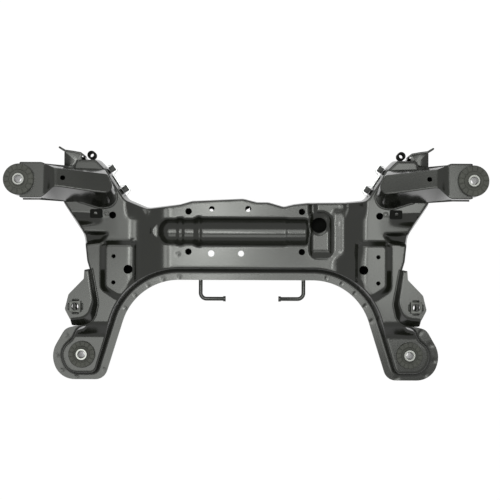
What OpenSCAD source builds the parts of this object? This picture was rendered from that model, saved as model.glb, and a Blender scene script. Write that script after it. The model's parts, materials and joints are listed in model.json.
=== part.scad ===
/* [Sheet and levels] */
// Thickness of the pressed sheet
sheet = 3; // [2:0.5:4]
// Height of the seam plane where the two shells meet
seam_z = 55; // [48:1:62]
// Height of the low panel, on the web and the feet
web_z = 90; // [84:1:96]
// Height of the leg panels
leg_z = 114; // [108:1:122]
// Rise of the pads above the leg panels
pad_rise = 8; // [4:1:12]
// Underside of the lower shell
pan_z = 14; // [10:1:22]
// How far the upper walls lean in from root to leg panel
upper_draft = 6; // [4:0.5:8]
// How far the lower walls lean in from seam to floor
lower_draft = 10; // [6:1:12]

/* [Plan] */
// Half width at the feet, to the wall root
foot_x = 377; // [370:1:386]
// Rear wall root of the feet
foot_y = 222; // [215:1:230]
// Inner wall root of the feet, from the middle
foot_inner_x = 300; // [294:1:305]
// Width of the welded flange along the arch
flange_w = 17; // [12:1:20]
// Width of the flange behind the feet
foot_flange_w = 12; // [8:1:14]
// Rear wall root of the web, behind the middle
web_rear_y = 15; // [12:1:18]
// Where the arch's two straight sides would meet, from the middle
arch_x = 236; // [230:1:242]
// Radius of the arch root between web and leg
arch_r = 136; // [120:1:145]
// Front end of the leg panels, to the wall root
leg_front_y = 212; // [208:1:216]

/* [Rack seat] */
// Centre line of the half-round rack trough
trough_y = 65; // [60:1:70]
// Radius of the trough
trough_r = 30; // [26:1:32]
// Height of the trough's axis above the web
trough_lift = 10; // [6:1:14]
// Extra radius of the two bead rings
bead_rise = 4; // [2:1:5]
// Spacing of the rack bolts across the car
rack_dx = 228; // [216:1:236]
// Spacing of the rack bolts along the car
rack_dy = 81; // [79:1:82]
// Diameter of the rack bolt holes
rack_hole_d = 13.5; // [10:0.5:15]
// Outer diameter of the tapped sleeves under the rack bolts
rack_nut_d = 20; // [17:1:20]
// Length of the tapped sleeves under the rack bolts
rack_nut_h = 28; // [20:1:30]

/* [Bushes] */
// Distance of the rear mounts from the middle
foot_bush_x = 328; // [322:1:334]
// Place of the rear mounts along the car
foot_bush_y = 182; // [178:1:186]
// Distance of the front mounts from the middle
arm_bush_x = 435; // [425:1:445]
// Place of the front mounts along the car
arm_bush_y = 158; // [154:1:162]
// Outer diameter of a front mount's can
can_d = 60; // [54:1:62]
// Outer diameter of a rear mount's can
foot_can_d = 54; // [50:1:56]
// Wall of a bush can
can_wall = 2.5; // [2:0.5:4]
// Outer diameter of an inner sleeve
sleeve_d = 23; // [20:1:26]
// Bore of an inner sleeve
sleeve_bore_d = 14.5; // [12:0.5:16]
// Height of a front mount's can
arm_can_h = 52; // [46:1:54]
// How far a rear mount's can stands out of the shells, above and below
foot_can_out = 4; // [2:1:5]
// How far the sleeve stands out of the rubber
sleeve_out = 3; // [1:0.5:5]

/* [Arms] */
// Height of an arm's top face
arm_top_z = 232; // [224:1:240]
// Step from the top face down to the end plate
end_step = 10; // [6:1:14]
// Height of an arm's end box
end_h = 46; // [40:1:50]
// Width of the end box
end_w = 68; // [66:1:72]
// Fall of an arm's top face from its outer end to its inner end
arm_fall = 30; // [10:1:40]
// Hole in the top face
arm_hole_d = 9.5; // [7:0.5:12]

/* [Brackets] */
// Height of a rear bracket's plate above the leg panel
rear_plate_rise = 30; // [24:1:36]
// Distance of the rear control-arm nut from the middle
rear_nut_x = 335; // [332:1:338]
// Place of the rear control-arm nut behind the middle
rear_nut_y = 86; // [83:1:89]
// Side of the square weld nut
rear_nut_w = 22; // [20:1:26]
// Height of the square weld nut
rear_nut_h = 11; // [8:1:14]
// Thread core of the square weld nut
rear_nut_d = 14; // [10:0.5:16]
// Thickness of a front bracket
front_t = 4; // [3:0.5:5]
// Outer diameter of a front bracket's collar
collar_d = 17; // [15:1:20]
// Bore of a front bracket's collar
collar_bore_d = 9; // [7:0.5:11]
// Length of a front bracket's collar
collar_l = 28; // [22:1:34]

/* [Small pieces] */
// Rod diameter of the hooks
rod_d = 8; // [6:0.5:10]
// Bend radius of the hooks
rod_bend_r = 12; // [9:1:16]
// Reach of the hooks behind the middle
rod_reach_y = 70; // [62:1:76]
// Thickness of a clip strip
strip_t = 1.5; // [1:0.5:2.5]
// Height of a clip strip
strip_h = 14; // [10:1:18]
// Side of a clip block
block_w = 11; // [8:1:13]
// Thickness of a harness tab
tab_t = 2; // [1.5:0.5:3]

/* [Hidden] */
$fn = 64;

paint = "#2e302d";
rubber = "#3c3d3a";
steel = "#a9abad";
zinc = "#d8dadb";

big = 600;
eps = 0.01;

// A corner is [x, y, radius, arc segments]; outlines run clockwise seen from above
function unit(v) = v / norm(v);
function right_of(v) = [v[1], -v[0]];
function xy(c) = [c[0], c[1]];
function turned(u, v) = u[0] * v[1] - u[1] * v[0];
function reversed(list) = [for (i = [len(list) - 1:-1:0]) list[i]];
function mirrored(list) = [for (c = list) [-c[0], c[1], c[2], c[3]]];

// The point where two lines, each moved inward by d, cross
function crossing(p, u, v, d) =
    let (a = p + right_of(u) * d, b = p + right_of(v) * d, k = turned(u, v))
    abs(k) < 1e-6 ? a : a + u * (turned(b - a, v) / k);

// Every side of an outline moved inward by d, with its fillets kept concentric
function inset(c, d) = [
    for (i = [0:len(c) - 1])
        let (p = xy(c[i]),
             u = unit(p - xy(c[(i + len(c) - 1) % len(c)])),
             v = unit(xy(c[(i + 1) % len(c)]) - p),
             q = crossing(p, u, v, d))
        [q[0], q[1], max(c[i][2] + (turned(u, v) < 0 ? -d : d), 1), c[i][3]]
];

// The points of an outline, with an arc at each corner
function rounded(c) = [
    for (i = [0:len(c) - 1])
        let (p = xy(c[i]),
             u = unit(p - xy(c[(i + len(c) - 1) % len(c)])),
             v = unit(xy(c[(i + 1) % len(c)]) - p),
             turn = atan2(turned(u, v), u * v),
             side = turn < 0 ? 1 : -1,
             start = p - u * (c[i][2] * tan(abs(turn) / 2)),
             centre = start + right_of(u) * (side * c[i][2]))
        for (k = [0:c[i][3]])
            let (a = turn * k / c[i][3], w = start - centre)
            centre + [w[0] * cos(a) - w[1] * sin(a), w[0] * sin(a) + w[1] * cos(a)]
];

// A solid between two outlines with the same number of points, in its own size on every axis
module loft(low, high, z0, z1) {
    a = rounded(low);
    b = rounded(high);
    n = len(a);
    points = concat([for (p = a) [p[0], p[1], z0]], [for (p = b) [p[0], p[1], z1]]);
    sides = [for (i = [0:n - 1]) each [
        [i, (i + 1) % n, n + i],
        [(i + 1) % n, n + (i + 1) % n, n + i]]];
    resize([0, 0, 0])
        polyhedron(points, concat([[for (i = [n - 1:-1:0]) i]], [[for (i = [0:n - 1]) n + i]], sides));
}

// A profile in X and Z drawn out along Y
module along_y(points, y0, y1) {
    translate([0, y1, 0])
        rotate([90, 0, 0])
            linear_extrude(y1 - y0)
                polygon(points);
}

// A profile in Y and Z drawn out along X
module along_x(points, x0, x1) {
    translate([x0, 0, 0])
        rotate([90, 0, 90])
            linear_extrude(x1 - x0)
                polygon(points);
}

module drill(x, y, d, z0 = -1, z1 = big) {
    translate([x, y, z0])
        cylinder(d = d, h = z1 - z0);
}

module on_right() {
    mirror([1, 0, 0])
        children();
}

module both_sides() {
    children();
    on_right()
        children();
}

// Middle of the rack bolts, a little off the car's middle
rack_x = -1.8;

// Plan of the body at the wall root: front edge, then the left side from front to rear
rack_left_x = rack_x - rack_dx / 2;
rack_right_x = rack_x + rack_dx / 2;
front_edge = [
    [-198, 114, 24, 3], [rack_left_x - 18, 122, 20, 3], [rack_left_x + 6, 129, 20, 3], [-6, 134, 24, 3],
    [22, 127, 16, 3], [45, 127, 16, 3], [76, 118, 12, 3], [rack_right_x - 16, 123, 16, 3],
    [rack_right_x + 10, 126, 16, 3], [198, 127, 24, 3]
];
// Inner wall of a leg's front end, which carries the clips
clip_wall = [[-238, 131], [-278, 192]];
left_edge = [
    [clip_wall[0][0], clip_wall[0][1], 14, 4], [clip_wall[1][0], clip_wall[1][1], 10, 3],
    [-298, leg_front_y, 14, 3], [-344, leg_front_y, 8, 3], [-372, 124, 14, 3],
    [-328, 58, 40, 4], [-322, 4, 8, 3], [-314, -22, 10, 3], [-316, -98, 16, 3], [-324, -124, 10, 3],
    [-342, -130, 10, 3], [-351, -151, 14, 3], [-foot_x, -172, 24, 4], [-foot_x + 16, -foot_y, 28, 5], [-foot_inner_x, -foot_y, 16, 4],
    [-arch_x, -web_rear_y, arch_r, 9]
];
root = concat(front_edge, mirrored(left_edge), reversed(left_edge));

// Edge of the welded flange, round the feet and the arch, closed inside the body
leg_lean = (foot_inner_x - arch_x) / (foot_y - web_rear_y);
arch_flange_x = arch_x - flange_w * sqrt(1 + leg_lean * leg_lean) + flange_w * leg_lean;
left_flange = [
    [-366, -138 + foot_flange_w * 0.6, 14, 3], [-foot_x - flange_w, -180, 30, 4],
    [-foot_x - 2, -foot_y - foot_flange_w, 34, 6],
    [-arch_flange_x - leg_lean * (foot_y + foot_flange_w - web_rear_y - flange_w), -foot_y - foot_flange_w, 24, 5],
    [-arch_flange_x, -web_rear_y - flange_w, arch_r - flange_w, 9]
];
inner_line = [[-330, -112, 5, 2], [-285, -60, 20, 3], [-200, 30, 20, 3]];
flange_plan = concat(inner_line, mirrored(reversed(inner_line)), mirrored(left_flange), reversed(left_flange));

// The dip of the panel on the web and on the feet
web_left = [-222, -164];
web_right = [232, 195];
foot_step = [-120, -143];
panel_over = leg_z + 60;
web_dip = [
    [web_left[0], leg_z], [web_left[1], web_z], [web_right[1], web_z], [web_right[0], leg_z],
    [web_right[0], panel_over], [web_left[0], panel_over]
];
foot_dip = [
    [foot_step[0], leg_z], [foot_step[1], web_z], [-big, web_z], [-big, panel_over],
    [foot_step[0], panel_over]
];

// Trough: a revolved form with bead rings and a round end
trough_x = [-172, 124];
bead_x = [rack_left_x - 17.2, rack_left_x + 17.8];
bead_w = 10;
function bead(x) = [
    [x - bead_w / 2 - bead_rise, trough_r], [x - bead_w / 2, trough_r + bead_rise],
    [x + bead_w / 2, trough_r + bead_rise], [x + bead_w / 2 + bead_rise, trough_r]
];
trough_end = 14;
trough_line = concat(
    [[trough_x[0], trough_r - trough_end], [trough_x[0] + trough_end * 0.4, trough_r - trough_end * 0.35],
     [trough_x[0] + trough_end, trough_r]],
    bead(bead_x[0]), bead(bead_x[1]),
    [[trough_x[1] - trough_end, trough_r], [trough_x[1] - trough_end * 0.4, trough_r - trough_end * 0.35],
     [trough_x[1], trough_r - trough_end]]);

// Pads, recesses and holes, on the left side
pad_top = [[-279, 36, 6, 3], [-222, 36, 6, 3], [-222, -28, 8, 3], [-250, -65, 8, 3], [-279, -46, 8, 3]];
pad_base = [[-290, 46, 8, 3], [-220, 46, 8, 3], [-220, -30, 8, 3], [-252, -74, 8, 3], [-290, -54, 8, 3]];
pad_hole_x = 263;
pad_hole_y = -12;
pad_hole_dy = 52;
pad_hole_d = 9;
pad_big = [-234, -12, 18];
corner_hole = [-266, 96, 14];
recess_low = [[-400, 62, 4, 2], [-272, 62, 4, 2], [-288, 43, 16, 4], [-316, 40, 12, 3], [-400, 40, 4, 2]];
tray_floor = [[-400, 78, 4, 2], [-302, 78, 6, 3], [-302, 60, 6, 3], [-400, 60, 4, 2]];
tray_rim = [[-400, 98, 4, 2], [-284, 98, 12, 3], [-266, 58, 8, 3], [-400, 58, 4, 2]];
recess_low_depth = 18;
tray_depth = 7;
pocket_x = [rack_right_x + 14.8, rack_right_x + 60.8];
pocket_plan = [
    [pocket_x[0], 107, 8, 3], [pocket_x[1], 107, 8, 3], [pocket_x[1], 11, 8, 3], [pocket_x[0], 11, 8, 3]
];
pocket_depth = 8;
pocket_slope = 6;
pocket_hole = [rack_right_x + 34.8, 79, 31];
web_holes = [[-69, 111, 11], [4, 111, 12.5], [-70, 21, 13], [-10, 21, 12]];
rack_y = trough_y;

// Floor of the lower shell
floor_holes = [[-72, 112, 14], [4, 113, 16], [-72, 24, 26], [-11, 24, 26], [62, 62, 60]];
leg_floor_holes = [[-250, 52, 34], [-300, 160, 50], [-284, -112, 18]];

// Nuts under the web and the pads, with bores this much under their bolt holes
thread_depth = 1.5;
pad_nut_d = 20;
pad_nut_h = 9;

// Arms, on the left side
arm_floor_z = arm_top_z - end_step - end_h;
arm_base = [
    [-400, 192, 6, 2], [-281, 188, 10, 4], [-248, 116, 22, 5], [-290, 109, 40, 3], [-330, 122, 40, 3],
    [-400, 124, 6, 2]
];
arm_crest = [
    [-368, 180, 4, 2], [-267, 170, 6, 4], [-250, 132, 14, 5], [-290, 135, 40, 3], [-330, 140, 40, 3],
    [-368, 145, 4, 2]
];
arm_inner_x = -250;
arm_ramp = [-368, -381];
arm_hole = [-351, 161];
arm_lap_x = -342;
arm_bend_x = -354;
arm_lip = 2;
arm_rise_x = -402;
arm_under = [
    [arm_lap_x, leg_z + sheet], [arm_bend_x, leg_z + sheet], [arm_rise_x, arm_floor_z],
    [-arm_bush_x, arm_floor_z]
];

// Heights of the mounts
rubber_out = 5;
can_lift = 2;
arm_can_z = arm_floor_z + can_lift;
foot_can_z = pan_z - foot_can_out;
foot_can_h = web_z - pan_z + 2 * foot_can_out;

// Rear brackets, on the left side
rear_top = [
    [-315, -12, 1, 2], [-310, -12, 1, 2], [-300, -76, 30, 4], [-312, -108, 26, 4], [-345, -112, 3, 2],
    [-356, -91, 4, 2], [-349, -62, 8, 3], [-316, -31, 4, 2]
];
rear_base = [
    [-309, -8, 1, 2], [-303, -8, 1, 2], [-288, -84, 30, 4], [-296, -134, 34, 4], [-347, -132, 4, 2],
    [-360, -95, 4, 2], [-353, -60, 8, 3], [-318, -27, 4, 2]
];
rear_mouth = [[-313, 20], [-313, -40], [-318, -84], [-340, -105], [-345, -112], [-347, -200], [-big, -200], [-big, 20]];

// Lower plates of the rear brackets, on the left side
ear_plan = [
    [-296, -24, 6, 2], [-296, -122, 6, 2], [-336, -114, 14, 4], [-354, -100, 12, 4], [-350, -70, 12, 3],
    [-318, -40, 8, 2]
];

// Front brackets, on the left side
front_y = leg_front_y;
front_plate_x = [-346, -326];
front_plate_z = 70;
front_toe = 14;
front_shelf_z = 96;
front_shelf = [
    [-365, 190, 2, 2], [-365, 225, 2, 2], [-347, 223, 4, 2], [-330, 219, 4, 2], [-330, 190, 1, 2]
];
front_lip = [
    [-374, foot_y + foot_flange_w - front_t / 2], [-363, 225.5], [-347, 223.4], [-332, 220.7],
    [front_plate_x[1], front_y + front_t]
];
front_lip_z = [62, 104];
front_collar_x = -314;
front_collar_z = 42;

// Hooks
hook_x = [-92, 117];
rod_start_y = web_rear_y + 4;
rod_flat = 0.8;
rod_tail = 34;
rod_head_d = 11;
rod_head_l = 5;

// Clips, on the left side
clip_ends = [21, 70];
clip_z = seam_z + 4;
clip_l = clip_ends[1] - clip_ends[0];

// Harness tabs, on the left side
tab_plan = [[-311, 108, 3, 3], [-286, 108, 3, 3], [-286, 90, 3, 3], [-311, 90, 3, 3]];
tab_hole = [-300, 99];
tab_hole_d = 7;
tab_nut_at = [-278, 99];
tab_nut_d = 12;
tab_nut_h = 5;

module trough(grow) {
    low = trough_line[0];
    high = trough_line[len(trough_line) - 1];
    translate([0, trough_y, web_z + trough_lift])
        rotate([0, 90, 0])
            rotate_extrude()
                polygon(concat(
                    [[0, low[0] - grow]], [for (p = trough_line) [p[1] + grow, p[0]]],
                    [[0, high[0] + grow]]));
}

// Body of the upper pressing: outside at grow 0, inside at grow = sheet
module upper_form(grow) {
    difference() {
        loft(inset(root, grow), inset(root, grow + upper_draft),
             seam_z - (grow > 0 ? 1 : 0), leg_z - grow);
        translate([0, 0, -grow])
            along_y(web_dip, -big, big);
        translate([0, 0, -grow])
            along_x(foot_dip, -big, big);
        trough(grow);
        loft(inset(pocket_plan, pocket_slope - grow), inset(pocket_plan, -grow),
             web_z - pocket_depth - grow, web_z + pad_rise);
        both_sides() {
            translate([0, 0, leg_z - recess_low_depth - grow])
                linear_extrude(panel_over)
                    polygon(rounded(inset(recess_low, -grow)));
            loft(inset(tray_floor, -grow), inset(tray_rim, -grow), leg_z - tray_depth - grow, leg_z - grow + eps);
        }
    }
    both_sides()
        loft(inset(pad_base, grow / 2), inset(pad_top, grow / 2),
             leg_z - grow - eps, leg_z + pad_rise - grow);
}

module flange_plate(z) {
    translate([0, 0, z])
        linear_extrude(sheet)
            polygon(rounded(flange_plan));
}

module at_rack() {
    for (x = [-0.5, 0.5], y = [-0.5, 0.5])
        translate([rack_x + x * rack_dx, rack_y + y * rack_dy, 0])
            children();
}

module upper_shell() {
    color(paint)
        difference() {
            union() {
                upper_form(0);
                flange_plate(seam_z);
            }
            upper_form(sheet);
            at_rack()
                drill(0, 0, rack_hole_d);
            for (h = web_holes)
                drill(h[0], h[1], h[2]);
            drill(pocket_hole[0], pocket_hole[1], pocket_hole[2]);
            both_sides() {
                for (k = [-0.5, 0.5])
                    drill(-pad_hole_x, pad_hole_y + k * pad_hole_dy, pad_hole_d);
                drill(pad_big[0], pad_big[1], pad_big[2]);
                drill(corner_hole[0], corner_hole[1], corner_hole[2]);
                drill(-foot_bush_x, -foot_bush_y, foot_can_d);
            }
        }
}

// Body of the lower pressing: outside at grow 0, inside at grow = sheet
module lower_form(grow) {
    loft(inset(root, grow + lower_draft), inset(root, grow), pan_z + grow, seam_z + (grow > 0 ? 1 : 0));
}

module lower_shell() {
    color(paint)
        difference() {
            union() {
                lower_form(0);
                flange_plate(seam_z - sheet);
            }
            lower_form(sheet);
            for (h = floor_holes)
                drill(h[0], h[1], h[2]);
            both_sides() {
                for (h = leg_floor_holes)
                    drill(h[0], h[1], h[2]);
                drill(-foot_bush_x, -foot_bush_y, foot_can_d);
            }
        }
}

module rack_nuts() {
    color(steel)
        at_rack()
            translate([0, 0, web_z - sheet - rack_nut_h])
                difference() {
                    cylinder(d = rack_nut_d, h = rack_nut_h);
                    drill(0, 0, rack_hole_d - thread_depth);
                }
}

module pad_nuts() {
    color(steel)
        both_sides()
            for (k = [-0.5, 0.5])
                translate([-pad_hole_x, pad_hole_y + k * pad_hole_dy, leg_z + pad_rise - sheet - pad_nut_h])
                    difference() {
                        cylinder(d = pad_nut_d, h = pad_nut_h, $fn = 6);
                        drill(0, 0, pad_hole_d - thread_depth, $fn = 64);
                    }
}

// Solid form of an arm: outside at grow 0, inside at grow = sheet
module arm_form(grow) {
    top = arm_top_z - grow;
    plate = arm_top_z - end_step - grow;
    inner = top - arm_fall * arm_ramp[0] / (arm_ramp[0] - arm_inner_x);
    difference() {
        loft(inset(arm_base, grow), inset(arm_crest, grow), leg_z - grow, top);
        along_y([[0, inner], [arm_ramp[0] - grow, top], [arm_ramp[1] - grow, plate], [-big, plate], [-big, big],
                 [0, big]], 0, big);
    }
    translate([-arm_bush_x - (grow > 0 ? 1 : 0), arm_bush_y - end_w / 2 + grow, arm_floor_z - grow])
        cube([arm_bush_x + arm_ramp[0] - 2 * grow, end_w - 2 * grow, plate - arm_floor_z + grow]);
}

module arm_upper() {
    color(paint)
        difference() {
            arm_form(0);
            arm_form(sheet);
            along_y(concat([[0, leg_z], [arm_lap_x, leg_z]], arm_under, [[-big, arm_floor_z], [-big, 0], [0, 0]]),
                    0, big);
            drill(-arm_bush_x, arm_bush_y, can_d);
            drill(arm_hole[0], arm_hole[1], arm_hole_d, arm_floor_z);
        }
}

// Plate that closes an arm from below, bent along one line
module arm_lower() {
    color(paint)
        difference() {
            along_y(concat(arm_under, reversed([for (p = arm_under) p - [0, sheet]])),
                    arm_bush_y - end_w / 2 - arm_lip, arm_bush_y + end_w / 2 + arm_lip);
            drill(-arm_bush_x, arm_bush_y, can_d);
        }
}

// Rubber-bonded mount, standing on its own base height
module can(d, z, h) {
    translate([0, 0, z])
        difference() {
            cylinder(d = d, h = h);
            drill(0, 0, d - 2 * can_wall);
        }
}

module bush_rubber(d, z, h) {
    r = d / 2;
    translate([0, 0, z])
        rotate_extrude()
            polygon([
                [sleeve_d / 2, -rubber_out], [r - can_wall - 6, -rubber_out], [r - can_wall, 0],
                [r - can_wall, h], [r - 1, h], [r - 1, h + rubber_out * 0.6], [r - 3, h + rubber_out],
                [r * 0.66, h + rubber_out], [r * 0.6, h + rubber_out * 0.4],
                [sleeve_d / 2 + 2.5, h + rubber_out * 0.4], [sleeve_d / 2, h + rubber_out]
            ]);
}

module bush_sleeve(z0, z1) {
    translate([0, 0, z0])
        difference() {
            cylinder(d = sleeve_d, h = z1 - z0);
            drill(0, 0, sleeve_bore_d);
        }
}

module at_arm_bush() {
    translate([-arm_bush_x, arm_bush_y, 0])
        children();
}

module at_foot_bush() {
    translate([-foot_bush_x, -foot_bush_y, 0])
        children();
}

module arm_can() {
    color(paint)
        at_arm_bush()
            can(can_d, arm_can_z, arm_can_h);
}

module arm_rubber() {
    color(rubber)
        at_arm_bush()
            bush_rubber(can_d, arm_can_z, arm_can_h);
}

module arm_sleeve() {
    color(steel)
        at_arm_bush()
            bush_sleeve(arm_can_z - rubber_out - sleeve_out, arm_can_z + arm_can_h + rubber_out + sleeve_out);
}

module foot_can() {
    color(paint)
        at_foot_bush()
            can(foot_can_d, foot_can_z, foot_can_h);
}

module foot_rubber() {
    color(rubber)
        at_foot_bush()
            bush_rubber(foot_can_d, foot_can_z, foot_can_h);
}

module foot_sleeve() {
    color(steel)
        at_foot_bush()
            bush_sleeve(0, foot_can_z + foot_can_h + rubber_out + sleeve_out);
}

// Cup over the rear bush of the control arm, open outboard
module rear_form(grow) {
    loft(inset(rear_base, grow), inset(rear_top, grow), web_z - grow, leg_z + rear_plate_rise - grow);
}

module rear_bracket() {
    color(paint)
        difference() {
            rear_form(0);
            rear_form(sheet);
            along_x([[big, leg_z], [foot_step[0], leg_z], [foot_step[1], web_z], [-big, web_z], [-big, 0], [big, 0]],
                    -big, 0);
            translate([0, 0, -1])
                linear_extrude(leg_z + rear_plate_rise - sheet + 1)
                    polygon(rear_mouth);
            drill(-rear_nut_x, -rear_nut_y, rear_nut_d + 2);
        }
}

module rear_nut() {
    color(steel)
        translate([-rear_nut_x, -rear_nut_y, leg_z + rear_plate_rise])
            difference() {
                translate([-rear_nut_w / 2, -rear_nut_w / 2, 0])
                    cube([rear_nut_w, rear_nut_w, rear_nut_h]);
                drill(0, 0, rear_nut_d);
            }
}

// Plate under the rear bush of the control arm, butted to the lower shell's wall
module rear_ear() {
    color(paint)
        translate([0, 0, seam_z - sheet])
            linear_extrude(sheet)
                difference() {
                    polygon(rounded(ear_plan));
                    polygon(rounded(root));
                    polygon(rounded(flange_plan));
                    translate([-rear_nut_x, -rear_nut_y])
                        circle(d = rear_nut_d + 2);
                }
}

// Bracket at the front of a leg: a shelf butted to the wall, a swept lip with an ear, and a leg it stands on
module front_bracket() {
    wall = inset(root, upper_draft * (front_shelf_z - seam_z) / (leg_z - seam_z));
    color(paint) {
        translate([0, 0, front_shelf_z])
            linear_extrude(front_t)
                difference() {
                    polygon(rounded(front_shelf));
                    polygon(rounded(wall));
                }
        translate([0, 0, front_lip_z[0]])
            linear_extrude(front_lip_z[1] - front_lip_z[0])
                for (i = [1:len(front_lip) - 1])
                    hull()
                        for (p = [front_lip[i - 1], front_lip[i]])
                            translate(p)
                                circle(d = front_t, $fn = 16);
        translate([front_plate_x[0], front_y, 0])
            cube([front_plate_x[1] - front_plate_x[0], front_t, front_plate_z]);
        translate([front_plate_x[0], front_y + front_t - front_toe, 0])
            cube([front_plate_x[1] - front_plate_x[0], front_toe, front_t]);
    }
}

// Tapped tube that stands against the front wall of a leg
module front_collar() {
    color(steel)
        translate([front_collar_x, front_y + collar_d / 2, front_collar_z])
            difference() {
                cylinder(d = collar_d, h = collar_l);
                drill(0, 0, collar_bore_d);
            }
}

module hook(x, way) {
    rod_z = seam_z - sheet + rod_flat - rod_d / 2;
    color(paint) {
        difference() {
            translate([x, -rod_reach_y + rod_bend_r, rod_z])
                rotate([-90, 0, 0])
                    cylinder(d = rod_d, h = rod_reach_y - rod_bend_r - rod_start_y);
            translate([x - rod_d, -web_rear_y - flange_w - 2, seam_z - sheet])
                cube([2 * rod_d, big, rod_d]);
        }
        translate([x + way * rod_bend_r, -rod_reach_y + rod_bend_r, rod_z])
            rotate([0, 0, way > 0 ? 180 : 270])
                rotate_extrude(angle = 90)
                    translate([rod_bend_r, 0])
                        circle(d = rod_d);
        translate([x + way * rod_bend_r, -rod_reach_y, rod_z])
            rotate([0, way * 90, 0]) {
                cylinder(d = rod_d, h = rod_tail);
                translate([0, 0, rod_tail])
                    cylinder(d = rod_head_d, h = rod_head_l);
            }
    }
}

// Thin strip along the inner wall of a leg, with a block at each end
module at_clip() {
    way = clip_wall[1] - clip_wall[0];
    translate([clip_wall[0][0], clip_wall[0][1], clip_z])
        rotate([0, 0, atan2(way[1], way[0])])
            translate([clip_ends[0], 0, 0])
                children();
}

module clip_strip() {
    color(zinc)
        at_clip()
            translate([block_w / 2, -strip_t, 0])
                cube([clip_l - block_w, strip_t, strip_h]);
}

module clip_blocks() {
    color(paint)
        at_clip()
            for (x = [0, clip_l])
                translate([x - block_w / 2, -block_w, 0])
                    cube([block_w, block_w, strip_h + 2]);
}

module harness_tab() {
    color(paint)
        translate([0, 0, leg_z])
            linear_extrude(tab_t)
                difference() {
                    polygon(rounded(tab_plan));
                    translate(tab_hole)
                        circle(d = tab_hole_d);
                }
}

module tab_nut() {
    color(steel)
        translate([tab_nut_at[0], tab_nut_at[1], leg_z])
            difference() {
                cylinder(d = tab_nut_d, h = tab_nut_h, $fn = 6);
                drill(0, 0, tab_nut_d / 2);
            }
}

upper_shell();
lower_shell();
rack_nuts();
pad_nuts();
arm_upper();  // left_arm_upper
on_right() arm_upper();  // right_arm_upper
arm_lower();  // left_arm_lower
on_right() arm_lower();  // right_arm_lower
arm_can();  // left_arm_can
on_right() arm_can();  // right_arm_can
arm_rubber();  // left_arm_rubber
on_right() arm_rubber();  // right_arm_rubber
arm_sleeve();  // left_arm_sleeve
on_right() arm_sleeve();  // right_arm_sleeve
foot_can();  // left_foot_can
on_right() foot_can();  // right_foot_can
foot_rubber();  // left_foot_rubber
on_right() foot_rubber();  // right_foot_rubber
foot_sleeve();  // left_foot_sleeve
on_right() foot_sleeve();  // right_foot_sleeve
rear_bracket();  // left_rear_bracket
on_right() rear_bracket();  // right_rear_bracket
rear_nut();  // left_rear_nut
on_right() rear_nut();  // right_rear_nut
rear_ear();  // left_rear_ear
on_right() rear_ear();  // right_rear_ear
front_bracket();  // left_front_bracket
on_right() front_bracket();  // right_front_bracket
front_collar();  // left_front_collar
on_right() front_collar();  // right_front_collar
clip_strip();  // left_clip_strip
on_right() clip_strip();  // right_clip_strip
clip_blocks();  // left_clip_blocks
on_right() clip_blocks();  // right_clip_blocks
hook(hook_x[0], 1);  // left_hook
hook(hook_x[1], -1);  // right_hook
harness_tab();  // left_harness_tab
on_right() harness_tab();  // right_harness_tab
tab_nut();  // left_tab_nut
on_right() tab_nut();  // right_tab_nut
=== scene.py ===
"""Dressed model of a pressed-steel front subframe: black paint over two welded shells, arms, cups and mounts."""
import json
import math

import bmesh
import bpy
import numpy as np
from mathutils import Matrix, Vector


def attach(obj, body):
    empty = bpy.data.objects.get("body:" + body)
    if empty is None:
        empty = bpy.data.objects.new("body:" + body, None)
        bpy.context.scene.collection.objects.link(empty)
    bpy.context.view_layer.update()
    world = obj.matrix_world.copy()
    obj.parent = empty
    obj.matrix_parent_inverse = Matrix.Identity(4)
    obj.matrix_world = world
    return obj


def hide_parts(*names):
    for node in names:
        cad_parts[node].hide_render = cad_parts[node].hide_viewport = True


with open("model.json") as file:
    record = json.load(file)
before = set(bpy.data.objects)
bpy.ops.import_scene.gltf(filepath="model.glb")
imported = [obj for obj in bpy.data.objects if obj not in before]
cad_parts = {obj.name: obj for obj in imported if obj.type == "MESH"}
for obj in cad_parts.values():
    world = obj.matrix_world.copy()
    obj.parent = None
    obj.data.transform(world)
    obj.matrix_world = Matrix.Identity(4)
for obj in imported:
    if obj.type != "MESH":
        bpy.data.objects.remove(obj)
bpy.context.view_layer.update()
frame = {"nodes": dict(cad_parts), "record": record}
nodes = frame["nodes"]

MM = 0.001
FAR = 1e6

# Sheet and levels, in millimetres
SHEET = 3.0
SEAM_Z = 55.0
WEB_Z = 90.0
LEG_Z = 114.0
PAD_RISE = 8.0
PAN_Z = 14.0
UPPER_DRAFT = 6.0
LOWER_DRAFT = 10.0
UPPER_FILLET = 3.2
LOWER_FILLET = 2.0

# Fineness of the sheets' meshes: cell sizes in millimetres, counts, then limits
UPPER_CELL = 2.6
LOWER_CELL = 2.8
ARM_CELL = 2.0
CUP_CELL = 1.5
PLAN_STEP = 2.0
BEND_STEPS = 4
FLANGE_STEPS = 5
SMOOTH_RINGS = 3
SMOOTH_PASSES = 4
CHUNK = 4000
OVERHANG = 0.4
WALL_SHARE = 0.45
FLANGE_SHARE = 0.5
FLANGE_MIN = 0.5
LEVEL = 0.9
TINY = 1e-9

# Middles of the body mounts and of a rear nut, in millimetres
ARM_BUSH = (435.0, 158.0)
FOOT_BUSH = (328.0, -182.0)
NUT_AT = (-335.0, -86.0)

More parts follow.
